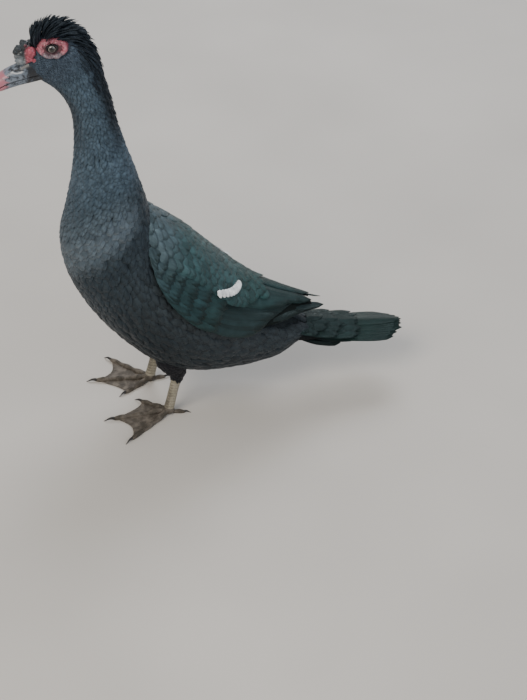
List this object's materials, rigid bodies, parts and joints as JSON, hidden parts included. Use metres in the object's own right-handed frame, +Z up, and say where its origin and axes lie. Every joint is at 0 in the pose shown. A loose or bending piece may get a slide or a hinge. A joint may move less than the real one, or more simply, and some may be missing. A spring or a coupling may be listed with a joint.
{
  "type": "muscovy duck",
  "caption": "Still, life-size adult drake standing with its neck up, with folded wings, crest, caruncles and webbed feet.",
  "frame": {"origin": "on the floor, under the middle of the bird's bounding box", "axes": "+Z up, -Y the way the bird faces, +X its left side"},
  "size_m": [0.2094, 0.5456, 0.5928],
  "materials": {
    "plumage": "flesh under short blue-black body feathers with a faint gloss",
    "flight_feather": "overlapping bottle-green glossy feathers, mostly vane and air",
    "caruncle": "moist bumpy red and pinkish-grey skin",
    "bill": "satin horn, blue-grey mottled with black, pinkish at the tip",
    "leg": "scaled skin, dusty yellowish grey",
    "claw": "dark worn horn",
    "eye": "wet gloss over a brown iris with a pale rim"
  },
  "bodies": {
    "root": {"torso": "plumage", "neck": "plumage", "head": "plumage", "thigh_left": "plumage", "thigh_right": "plumage", "wing_left": "flight_feather", "wing_right": "flight_feather", "tail": "flight_feather", "eye_left": "eye", "eye_right": "eye", "bill_upper": "bill", "bill_lower": "bill", "caruncle_bill": "caruncle", "caruncle_left": "caruncle", "caruncle_right": "caruncle", "shank_left": "leg", "shank_right": "leg", "foot_left": "leg", "foot_right": "leg", "claw_left_inner": "claw", "claw_left_middle": "claw", "claw_left_outer": "claw", "claw_left_hind": "claw", "claw_right_inner": "claw", "claw_right_middle": "claw", "claw_right_outer": "claw", "claw_right_hind": "claw"}
  },
  "joints": []
}
